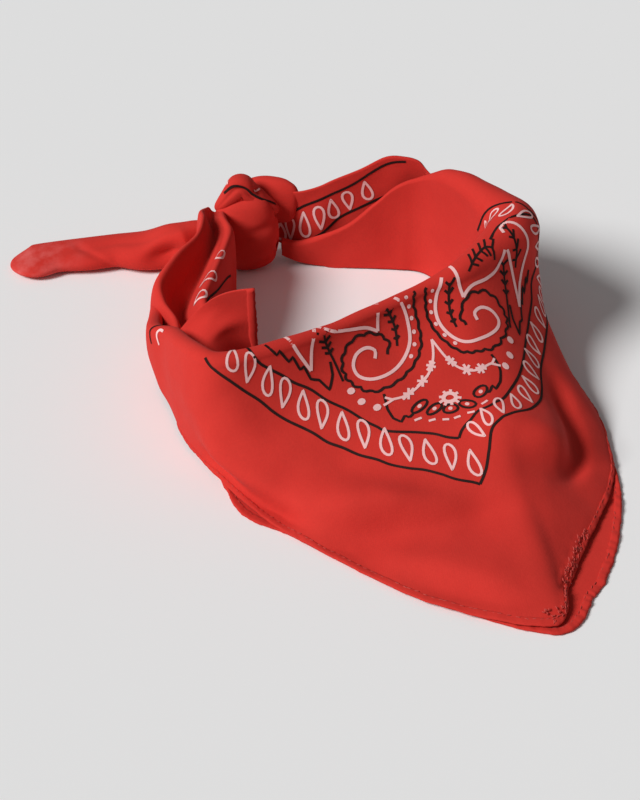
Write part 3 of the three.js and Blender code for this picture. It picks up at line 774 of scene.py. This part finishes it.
def borderDrops(outer, form):
    outer = softPath(outer, 160)
    a = np.array([onGrid(frontCloth, frontNormals, *h) for h in outer])
    n = np.array([onGrid(frontCloth, frontNormals, *h, 1.0) for h in outer]) - a
    way = unit(a[np.minimum(len(a) - 1, np.arange(len(a)) + 4)] - a[np.maximum(0, np.arange(len(a)) - 4)])
    middles = np.array([stepped(h, np.cross(u, w) * form["side"] * form["off"]) for h, u, w in zip(outer, n, way)])
    soft = np.ones(9) / 9
    middles = np.stack([np.convolve(np.pad(m, 4, mode="edge"), soft, mode="valid") for m in middles.T], axis=1)
    a = np.array([onGrid(frontCloth, frontNormals, *h) for h in middles])
    n = np.array([onGrid(frontCloth, frontNormals, *h, 1.0) for h in middles]) - a
    lengths = np.concatenate([[0], np.cumsum(np.linalg.norm(np.diff(a, axis=0), axis=1))])
    for k, at in enumerate(np.arange(form["first"], lengths[-1] + 3, form["pitch"])):
        i, behind, ahead = (min(int(np.searchsorted(lengths, max(0, at + d))), len(a) - 1) for d in (0, -5, 5))
        way = unit(a[ahead] - a[behind])
        axis = unit(np.cross(n[i], way) * form["side"] + way * form["lean"])
        sign = 1 if (k % 2 == 0) == form["pointIn"] else -1
        slopes = slopesAt(middles[i])
        spots = [middles[i] + np.linalg.lstsq(slopes, way * x + axis * y * sign, rcond=None)[0]
                 for x, y in drop(form["size"])]
        if len(underRim(spots, 26)) and len(underRim(spots, 26)[0]) == len(spots):
            bm, lift = ink["white"]
            ribbon(bm, spotsOnFront(spots, lift), form["width"], True)


borderDrops(outerLeft, {"first": 5.2, "pitch": 9.6, "size": (3.7, 6.2), "off": 9.2, "width": 1.15, "pointIn": True,
                        "side": -1, "lean": 0.5})
borderDrops(outerRight, {"first": 21.5, "pitch": 8.6, "size": (3.1, 5.0), "off": 6.4, "width": 1.1, "pointIn": False,
                         "side": 1, "lean": 0.45})
for colour, line, width in (
    ("white", [(11.41, 120), (11.56, 122.5), (11.73, 126), (11.86, 130.5), (11.9, 137), (11.79, 142), (11.58, 145),
               (11.46, 144)], 1.45),
):
    heldLine(colour, line, width, 30)


def heldSprig(path, leaves, size):
    scale = np.array([19.0, 1.0])   # millimetres in a row of the neck edge
    line = evenly(np.array(path) * scale, 1.0)
    heldLine("black", line / scale, 1.1, 30)
    way = unit(np.gradient(line, axis=0))
    for k in range(leaves):
        at = int((len(line) - 1) * (k + 0.4) / leaves)
        for turn in (55, -55):
            c, s_ = math.cos(math.radians(turn)), math.sin(math.radians(turn))
            out = np.array([way[at][0] * c - way[at][1] * s_, way[at][0] * s_ + way[at][1] * c]) * size
            heldLine("black", np.array([line[at], line[at] - out * 0.5, line[at] - out]) / scale, 1.1, 30)


heldSprig([(10.94, 149), (10.8, 153), (10.59, 155), (10.36, 156), (10.12, 156)], 5, 4.2)
heldSprig([(11.66, 143), (11.58, 140), (11.48, 136), (11.43, 132), (11.37, 128)], 4, 3.2)
say("front print")


# Hems: a double turn of the cloth as a slightly raised band along each free edge, with its row of stitches.
hemForm = {"wide": 3.6, "thick": 0.5, "under": 0.55, "uneven": 0.6, "stitchFrom": 2.9, "stitchPitch": 3.3,
           "stitch": (2.1, 0.42, 0.3)}
stitchMesh = bmesh.new()


def edgeFrames(edge, inside, count, side):
    t = np.linspace(0, 1, count)
    p, q = edge(t), inside(t)
    inward = unit(q - p)
    way = unit(np.gradient(p, axis=0))
    return p, inward, unit(np.cross(way, inward)) * side, way


def strayThread(edge, inward, n, way, seed):
    chance = [noise.noise(Vector((seed * 1.37, axis * 5.1, 2.7))) for axis in range(5)]
    spot = edge + inward * (4.2 + chance[0] * 7) + way * chance[1] * 4 + n * 0.6
    turn = chance[2] * 6
    along = inward * math.cos(turn) + way * math.sin(turn)
    across = unit(np.cross(n, along))
    for v in bmesh.ops.create_uvsphere(stitchMesh, u_segments=6, v_segments=6, radius=0.5)["verts"]:
        c = np.array(v.co)
        bend = c[2] * c[2] * (2.0 + chance[3] * 3)
        c = spot + along * c[2] * (1.7 + chance[4]) + across * (c[0] * 0.6 + bend) + n * (c[1] * 0.6)
        v.co = (c + shift) * mm
        v.co.z = max(v.co.z, 0.0001)


def hemBand(name, edge, inside, length, side, lift=0.0):
    form = hemForm
    count = max(12, int(length / 1.6))
    p, inward, n, way = edgeFrames(edge, inside, count, side)
    top, low = form["thick"] + lift, form["under"] - lift + 0.6
    profile = [(-0.5, lift - 0.35), (-0.45, lift - 0.05), (-0.1, top * 0.8), (0.7, top), (2.2, top * 0.85), (3.1, top * 0.6),
               (3.6, lift * 1.0 + 0.1), (3.7, lift - 0.3), (2.4, -low), (0.6, -low)]
    bm = bmesh.new()
    bmesh.ops.create_grid(bm, x_segments=count - 1, y_segments=len(profile), size=0.5)
    for v in bm.verts:
        i = int(round((v.co.x + 0.5) * (count - 1)))
        s_, h = profile[int(round((v.co.y + 0.5) * len(profile))) % len(profile)]
        spot = p[i] * 0.11
        wobble = noise.noise(Vector(spot)) * form["uneven"] + noise.noise(Vector(p[i] * 0.7)) * 0.4
        swell = 1 + 0.5 * noise.noise(Vector(spot * 2.3) + Vector((9, 0, 0)))
        pucker = noise.noise(Vector(p[i] * 0.55)) * 0.45 * (0.4 + min(1, max(0, (p[i][0] - 60) / 30)))
        v.co = p[i] + inward[i] * (s_ * form["wide"] / 3.6 + wobble) + n[i] * (h * swell + (pucker if h > 0 else 0))
        v.co = (np.array(v.co) + shift) * mm
        v.co.z = max(v.co.z, 0.0001)
    bmesh.ops.remove_doubles(bm, verts=bm.verts, dist=0.00001)
    bmesh.ops.holes_fill(bm, edges=[e for e in bm.edges if e.is_boundary], sides=0)
    bmesh.ops.recalc_face_normals(bm, faces=bm.faces)
    band = finishMesh(name, bm)
    lengths = np.concatenate([[0], np.cumsum(np.linalg.norm(np.diff(p, axis=0), axis=1))])
    for k, at in enumerate(np.arange(2, lengths[-1] - 2, form["stitchPitch"])):
        i = min(int(np.searchsorted(lengths, at)), count - 2)
        stray = noise.noise(Vector((k * 0.7, 0.3, 1.1)))
        spot = p[i] + inward[i] * (form["stitchFrom"] + stray * 0.5) + n[i] * (top * 0.62 + 0.05)
        made = bmesh.ops.create_uvsphere(stitchMesh, u_segments=6, v_segments=4, radius=0.5)["verts"]
        slant = unit(way[i] + inward[i] * (0.1 + stray * 0.5))
        across = unit(np.cross(n[i], slant))
        for v in made:
            c = np.array(v.co)
            c = spot + slant * c[2] * form["stitch"][0] + across * c[0] * form["stitch"][1] + n[i] * c[1] * form["stitch"][2]
            v.co = (c + shift) * mm
            v.co.z = max(v.co.z, 0.0001)
        if name == "hem_front" and p[i][0] > 92 and p[i][1] < -98:
            for fray in range(6):
                strayThread(p[i], inward[i], n[i], way[i], k * 6 + fray)
    return band


def frontEdge(firstRow, lastRow_, s_):
    def line(t):
        rows = firstRow + (lastRow_ - firstRow) * t
        return np.array([onGrid(frontCloth, frontNormals, r, s_) for r in rows])
    return line


def pieceEdge(surface, fixed, value, first=0.0, last=1.0):
    def line(t):
        run = first + (last - first) * t
        held = np.full_like(run, value)
        return surface(run, held) if fixed == "b" else surface(held, run)
    return line


hems = [
    hemBand("hem_front", frontEdge(2.6, 16.6, 0), frontEdge(2.6, 16.6, 4), 560, 1, 0.0),
    hemBand("hem_lower", pieceEdge(lowerSurface, "b", 0), pieceEdge(lowerSurface, "b", 0.08), 470, 1, 0.0),
    hemBand("hem_flap", pieceEdge(flapSurface, "a", 1), pieceEdge(flapSurface, "a", 0.9), 54, -1, 0.35),
]
hemFront, hemLower, hemFlap = hems
stitches = finishMesh("hem_stitches", stitchMesh)


# Print on the pieces behind: each drop from its point to its round end, in shares along and across its piece
def onPiece(surface, a, b, side, lift):
    a, b = np.atleast_1d(a).astype(float), np.atleast_1d(b).astype(float)
    n = outward(surface, np.clip(a, 0.002, 0.998), np.clip(b, 0.002, 0.998)) * side
    return surface(a, b) + n * lift, n


def pieceLine(colour, surface, side, lift, path, width):
    bm, over_ = ink[colour]
    held = evenly(path, 0.01)
    p, n = onPiece(surface, held[:, 0], held[:, 1], side, lift + over_)
    ribbon(bm, list(zip(p, n)), width)


def pieceDrop(surface, side, lift, point, roundEnd, wide, share=1.0):
    (p0, p1), n = onPiece(surface, [point[0], roundEnd[0]], [point[1], roundEnd[1]], side, 0)[0], None
    middle = (np.array(point) + np.array(roundEnd)) / 2
    step = 0.004
    base, normal = onPiece(surface, middle[0], middle[1], side, 0)
    da = (onPiece(surface, middle[0] + step, middle[1], side, 0)[0] - base)[0] / step
    db = (onPiece(surface, middle[0], middle[1] + step, side, 0)[0] - base)[0] / step
    axis = unit(p0 - p1)
    across = unit(np.cross(normal[0], axis))
    half = np.linalg.norm(p0 - p1) / 2
    outline = drop((wide, half))
    outline = outline[: max(3, int(len(outline) * share))]
    spots = [(-y) * axis + x * across for x, y in outline]
    jacobian = np.stack([da, db], axis=1)
    held = np.array([middle + np.linalg.lstsq(jacobian, q, rcond=None)[0] for q in spots])
    bm, over_ = ink["white"]
    p, n = onPiece(surface, held[:, 0], held[:, 1], side, lift + over_)
    ribbon(bm, list(zip(p, n)), 1.25, closed=share == 1.0)


backPrint = {"side": -1, "lift": 0.7,
             "upper": [(0.955, 0.2), (0.923, 0.275), (0.795, 0.581), (0.686, 0.788), (0.509, 0.856), (0.418, 0.919), (0.273, 0.96)],
             "lower": [(0.836, 0.02), (0.795, 0.06), (0.718, 0.19), (0.582, 0.444), (0.455, 0.6), (0.273, 0.7)]}
for colour, line in (("black", backPrint["upper"]), ("black", backPrint["lower"])):
    pieceLine(colour, backSurface, backPrint["side"], backPrint["lift"], line, 1.25)
for k, at in enumerate((0.845, 0.782, 0.709, 0.636, 0.568, 0.505, 0.441)):
    up_ = np.interp(at, [0.418, 0.509, 0.686, 0.795, 0.923], [0.919, 0.856, 0.788, 0.581, 0.275])
    low_ = np.interp(at, [0.273, 0.455, 0.582, 0.718, 0.795, 0.845], [0.7, 0.6, 0.444, 0.19, 0.06, 0.0])
    ends = [(at + 0.004, up_ + (low_ - up_) * 0.16), (at - 0.004, up_ + (low_ - up_) * 0.84)]
    pieceDrop(backSurface, -1, 0.7, ends[k % 2 == 0], ends[k % 2 == 1], 3.4)

strandPrint = [((0.53, 0.82), (0.54, 0.61), 5.2), ((0.41, 0.78), (0.385, 0.62), 4.6), ((0.27, 0.745), (0.24, 0.63), 4.2)]
for point, end, wide in strandPrint:
    pieceDrop(strandSurface, -1, 0.7, point, end, wide)
pieceLine("black", strandSurface, -1, 0.7, [(0.6, 0.88), (0.55, 0.863), (0.4, 0.819), (0.27, 0.781), (0.2, 0.76)], 1.25)
pieceLine("black", overSurface, -1, 0.1, [(0.28, 0.34), (0.42, 0.37), (0.535, 0.4), (0.78, 0.37), (0.93, 0.27)], 1.2)
pieceLine("white", overSurface, -1, 0.1, [(0.66, 0.34), (0.7, 0.29), (0.73, 0.24)], 0.9)
pieceLine("white", overSurface, -1, 0.1, [(0.4, 0.31), (0.42, 0.28)], 0.9)
heldLine("black", [(1.5, 30), (1.35, 35), (1.45, 41), (1.7, 47)], 1.2)
heldLine("white", [(1.9, 34), (1.75, 37), (1.8, 41), (2.0, 43)], 1.3)
say("hems and print")

blackPiece = finishMesh("print_black", printBlack)
whitePiece = finishMesh("print_white", printWhite)


def weaveGroup():
    group = bpy.data.node_groups.new("plain weave", "ShaderNodeTree")
    sockets = group.interface
    for name, kind, value in (("Colour", "NodeSocketColor", (0.6, 0.03, 0.02, 1)), ("Worn", "NodeSocketColor", (0.7, 0.1, 0.08, 1)),
                              ("Wear", "NodeSocketFloat", 0.1), ("Relief", "NodeSocketFloat", 0.3)):
        sockets.new_socket(name, in_out="INPUT", socket_type=kind).default_value = value
    sockets.new_socket("Colour", in_out="OUTPUT", socket_type="NodeSocketColor")
    sockets.new_socket("Height", in_out="OUTPUT", socket_type="NodeSocketFloat")
    sockets.new_socket("Roughness", in_out="OUTPUT", socket_type="NodeSocketFloat")
    nodes, links = group.nodes, group.links
    given, out = nodes.new("NodeGroupInput"), nodes.new("NodeGroupOutput")
    place = nodes.new("ShaderNodeTexCoord")

    def texture(kind, scale, **values):
        node = nodes.new(kind)
        node.inputs["Scale"].default_value = scale
        for key, value in values.items():
            if key in node.inputs:
                node.inputs[key].default_value = value
            else:
                setattr(node, key, value)
        return node

    def sum_(operation, a, b):
        node = nodes.new("ShaderNodeMath")
        node.operation = operation
        for k, value in enumerate((a, b)):
            if isinstance(value, (int, float)):
                node.inputs[k].default_value = value
            else:
                links.new(value, node.inputs[k])
        return node.outputs[0]

    warp = texture("ShaderNodeTexWave", 1.0, wave_type="BANDS", bands_direction="X", Distortion=1.2)
    weft = texture("ShaderNodeTexWave", 1.0, wave_type="BANDS", bands_direction="Y", Distortion=1.2)
    for node, stretch in ((warp, 620), (weft, 620)):
        scale = nodes.new("ShaderNodeMapping")
        scale.inputs["Scale"].default_value = (stretch, stretch, stretch)
        links.new(place.outputs["UV"], scale.inputs["Vector"])
        links.new(scale.outputs["Vector"], node.inputs["Vector"])
    fuzz = texture("ShaderNodeTexNoise", 900, Detail=3.0)
    slub = texture("ShaderNodeTexNoise", 160, Detail=4.0)
    patches = texture("ShaderNodeTexNoise", 22, Detail=5.0)
    for node in (fuzz, slub, patches):
        links.new(place.outputs["Object"], node.inputs["Vector"])
    thread = sum_("MULTIPLY", sum_("ADD", warp.outputs["Fac"], weft.outputs["Fac"]), 0.5)
    height = sum_("ADD", sum_("MULTIPLY", thread, 0.1), sum_("MULTIPLY", fuzz.outputs["Fac"], 0.5))
    height = sum_("ADD", height, sum_("MULTIPLY", slub.outputs["Fac"], 0.8))
    links.new(sum_("MULTIPLY", height, given.outputs["Relief"]), out.inputs["Height"])
    spread = nodes.new("ShaderNodeMapRange")
    spread.inputs["From Min"].default_value = 0.35
    spread.inputs["From Max"].default_value = 0.75
    links.new(sum_("ADD", sum_("MULTIPLY", patches.outputs["Fac"], 0.6), sum_("MULTIPLY", slub.outputs["Fac"], 0.4)),
              spread.inputs["Value"])
    amount = sum_("MULTIPLY", spread.outputs["Result"], given.outputs["Wear"])
    blend = nodes.new("ShaderNodeMix")
    blend.data_type = "RGBA"
    links.new(amount, blend.inputs["Factor"])
    links.new(given.outputs["Colour"], blend.inputs[6])
    links.new(given.outputs["Worn"], blend.inputs[7])
    shade = nodes.new("ShaderNodeMix")
    shade.data_type = "RGBA"
    shade.blend_type = "MULTIPLY"
    shade.inputs["Factor"].default_value = 1.0
    tone = nodes.new("ShaderNodeMapRange")
    tone.inputs["To Min"].default_value = 0.9
    tone.inputs["To Max"].default_value = 1.06
    links.new(sum_("ADD", sum_("MULTIPLY", fuzz.outputs["Fac"], 0.7), sum_("MULTIPLY", thread, 0.3)), tone.inputs["Value"])
    links.new(blend.outputs[2], shade.inputs[6])
    links.new(tone.outputs["Result"], shade.inputs[7])
    links.new(shade.outputs[2], out.inputs["Colour"])
    links.new(sum_("ADD", sum_("MULTIPLY", fuzz.outputs["Fac"], 0.1), 0.82), out.inputs["Roughness"])
    return group


weave = weaveGroup()


def cottonMaterial(name, look):
    material = bpy.data.materials.new(name)
    material.use_nodes = True
    nodes, links = material.node_tree.nodes, material.node_tree.links
    shader = nodes["Principled BSDF"]
    shader.inputs["Sheen Weight"].default_value = look["sheen"]
    shader.inputs["Sheen Roughness"].default_value = 0.5
    shader.inputs["Specular IOR Level"].default_value = 0.12
    cloth = nodes.new("ShaderNodeGroup")
    cloth.node_tree = weave
    cloth.inputs["Colour"].default_value = look["colour"]
    cloth.inputs["Worn"].default_value = look["worn"]
    cloth.inputs["Wear"].default_value = look["wear"]
    cloth.inputs["Relief"].default_value = look["relief"]
    bump = nodes.new("ShaderNodeBump")
    bump.inputs["Distance"].default_value = look["bump"]
    bump.inputs["Strength"].default_value = 0.7
    links.new(cloth.outputs["Height"], bump.inputs["Height"])
    links.new(bump.outputs["Normal"], shader.inputs["Normal"])
    links.new(cloth.outputs["Roughness"], shader.inputs["Roughness"])
    links.new(cloth.outputs["Colour"], shader.inputs["Base Color"])
    if "faded" in look:   # the tail pales towards its corner
        where = nodes.new("ShaderNodeTexCoord")
        measure = nodes.new("ShaderNodeVectorMath")
        measure.operation = "DISTANCE"
        measure.inputs[1].default_value = look["faded"]["at"]
        links.new(where.outputs["Object"], measure.inputs[0])
        reach = nodes.new("ShaderNodeMapRange")
        reach.interpolation_type = "SMOOTHSTEP"
        reach.inputs["From Min"].default_value = look["faded"]["from"]
        reach.inputs["From Max"].default_value = look["faded"]["to"]
        reach.inputs["To Min"].default_value = look["faded"]["most"]
        reach.inputs["To Max"].default_value = 0.0
        links.new(measure.outputs["Value"], reach.inputs["Value"])
        spots = nodes.new("ShaderNodeTexNoise")
        spots.inputs["Scale"].default_value = 110
        spots.inputs["Detail"].default_value = 4
        links.new(where.outputs["Object"], spots.inputs["Vector"])
        sharp = nodes.new("ShaderNodeMapRange")
        sharp.inputs["From Min"].default_value = 0.38
        sharp.inputs["From Max"].default_value = 0.62
        links.new(spots.outputs["Fac"], sharp.inputs["Value"])
        much = nodes.new("ShaderNodeMath")
        much.operation = "MULTIPLY"
        links.new(reach.outputs["Result"], much.inputs[0])
        links.new(sharp.outputs["Result"], much.inputs[1])
        pale = nodes.new("ShaderNodeMix")
        pale.data_type = "RGBA"
        pale.inputs[7].default_value = look["faded"]["colour"]
        links.new(much.outputs[0], pale.inputs["Factor"])
        links.new(cloth.outputs["Colour"], pale.inputs[6])
        links.new(pale.outputs[2], shader.inputs["Base Color"])
    return material


red = {"colour": (0.60, 0.032, 0.024, 1), "worn": (0.66, 0.045, 0.032, 1), "wear": 0.45, "sheen": 0.02, "relief": 1.0,
       "bump": 0.00022}
looks = {
    "red cotton": red,
    "tail cotton": dict(red, faded={"at": (-0.128, 0.114, 0.006), "from": 0.004, "to": 0.03, "most": 0.75,
                                    "colour": (0.72, 0.13, 0.12, 1)}),
    "red thread": dict(red, colour=(0.5, 0.035, 0.028, 1), worn=(0.66, 0.12, 0.1, 1), wear=0.9, bump=0.0001),
    "black print": dict(red, colour=(0.018, 0.008, 0.007, 1), worn=(0.05, 0.02, 0.018, 1), wear=0.8, bump=0.0001, sheen=0.0),
    "white print": dict(red, colour=(0.93, 0.57, 0.56, 1), worn=(0.86, 0.4, 0.39, 1), wear=0.45, bump=0.0001, sheen=0.0),
}
materials = {name: cottonMaterial(name, look) for name, look in looks.items()}
for piece, name in (
    (front, "red cotton"), (lower, "red cotton"), (back, "red cotton"), (strand, "red cotton"), (flap, "red cotton"),
    (wrap, "red cotton"), (over, "red cotton"), (turnBack, "red cotton"), (tail, "tail cotton"),
    (hemFront, "red cotton"), (hemLower, "red cotton"), (hemFlap, "red cotton"), (stitches, "red thread"),
    (blackPiece, "black print"), (whitePiece, "white print"),
):
    piece.data.materials.append(materials[name])
say("materials")


def stageAndLight():
    bm = bmesh.new()
    bmesh.ops.create_grid(bm, x_segments=2, y_segments=2, size=3.0)
    mesh = bpy.data.meshes.new("floor")
    bm.to_mesh(mesh)
    bm.free()
    ground = bpy.data.objects.new("floor", mesh)
    bpy.context.scene.collection.objects.link(ground)
    paper = bpy.data.materials.new("floor paper")
    paper.use_nodes = True
    paper.node_tree.nodes["Principled BSDF"].inputs["Base Color"].default_value = (0.9, 0.9, 0.9, 1)
    paper.node_tree.nodes["Principled BSDF"].inputs["Roughness"].default_value = 0.95
    mesh.materials.append(paper)
    world = bpy.data.worlds.new("studio")
    world.use_nodes = True
    world.node_tree.nodes["Background"].inputs["Color"].default_value = (1, 1, 1, 1)
    world.node_tree.nodes["Background"].inputs["Strength"].default_value = studio["sky"]
    bpy.context.scene.world = world
    data = bpy.data.lights.new("window", "SUN")
    data.energy = studio["power"]
    data.angle = math.radians(studio["angle"])
    light = bpy.data.objects.new("window", data)
    light.rotation_euler = Vector(studio["from"]).to_track_quat("Z", "Y").to_euler()
    bpy.context.scene.collection.objects.link(light)


studio = {"sky": 0.16, "power": 3.1, "angle": 22, "from": (-0.98, -0.48, 0.95)}
stageAndLight()
bpy.context.scene.view_settings.view_transform = "Standard"
say("light")
